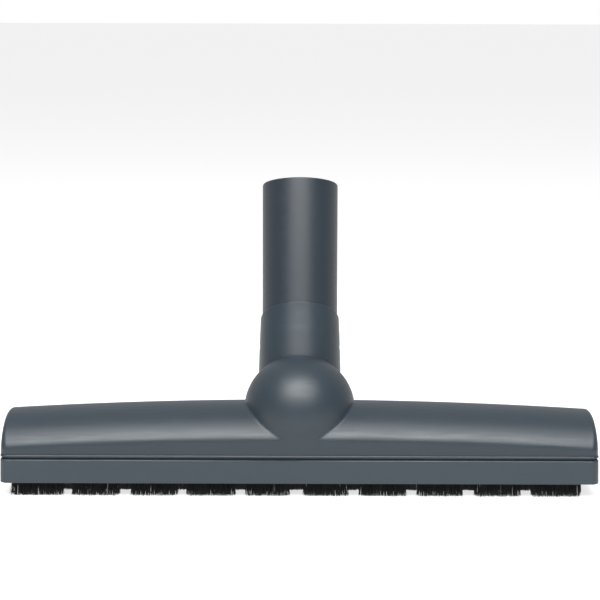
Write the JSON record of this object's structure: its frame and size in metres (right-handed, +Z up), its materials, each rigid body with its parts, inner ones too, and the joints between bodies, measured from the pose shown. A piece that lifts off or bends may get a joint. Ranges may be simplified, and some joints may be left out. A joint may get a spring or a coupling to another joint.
{
  "type": "vacuum cleaner hard floor brush nozzle",
  "caption": "Long flat hard-floor brush nozzle with bristle strips beneath, a ball hood, and a tilting, swivelling tube that takes a 35 mm vacuum wand.",
  "frame": {"origin": "on the floor plane at the bristle tips, under the middle of the whole part seen from above, which falls on the rear bristle strip 21 mm behind the centre of the brush body", "axes": "+X along the brush, to the right seen from the front; -Y is the front; +Z up from the floor"},
  "size_m": [0.2998, 0.0986, 0.1554],
  "materials": {
    "housing_plastic": "satin moulded ABS, anthracite",
    "frame_plastic": "satin moulded ABS, anthracite",
    "sole_plastic": "matt moulded polypropylene, near black",
    "carrier_plastic": "matt polypropylene, black",
    "bristle_fibre": "black bristle tufts, dull sheen",
    "elbow_plastic": "satin moulded ABS, anthracite",
    "tube_plastic": "satin moulded polypropylene, anthracite",
    "clip_plastic": "acetal, near black",
    "bush_acetal": "natural acetal",
    "seal_rubber": "soft black rubber lip",
    "seal_felt": "grey wool felt",
    "pin_steel": "drawn steel",
    "zinc_screw": "zinc-plated steel"
  },
  "bodies": {
    "housing": {"upper_shell": "housing_plastic", "base_frame": "frame_plastic", "sole_plate": "sole_plastic", "front_brush_carrier": "carrier_plastic", "front_bristles": "bristle_fibre", "rear_brush_carrier": "carrier_plastic", "rear_bristles": "bristle_fibre", "brush_end_stops": "carrier_plastic", "duct_cradle": "sole_plastic", "ball_seal": "seal_rubber", "pivot_bush_left": "bush_acetal", "pivot_bush_right": "bush_acetal", "housing_screws": "zinc_screw"},
    "elbow": {"ball_elbow": "elbow_plastic", "pivot_pin_left": "pin_steel", "pivot_pin_right": "pin_steel", "pin_clip_left": "pin_steel", "pin_clip_right": "pin_steel", "swivel_seal": "seal_felt", "retaining_ring": "clip_plastic"},
    "tube": {"connecting_tube": "tube_plastic"}
  },
  "joints": [
    {"name": "tube_tilt", "type": "hinge", "parent": "housing", "child": "elbow", "pos_m": [0, -0.00779, 0.0312], "axis": [-1, 0, 0], "range_deg": [0, 60]},
    {"name": "tube_swivel", "type": "hinge", "parent": "elbow", "child": "tube", "pos_m": [0, 0.00457, 0.06924], "axis": [0, 0.309, 0.9511], "continuous": true}
  ]
}
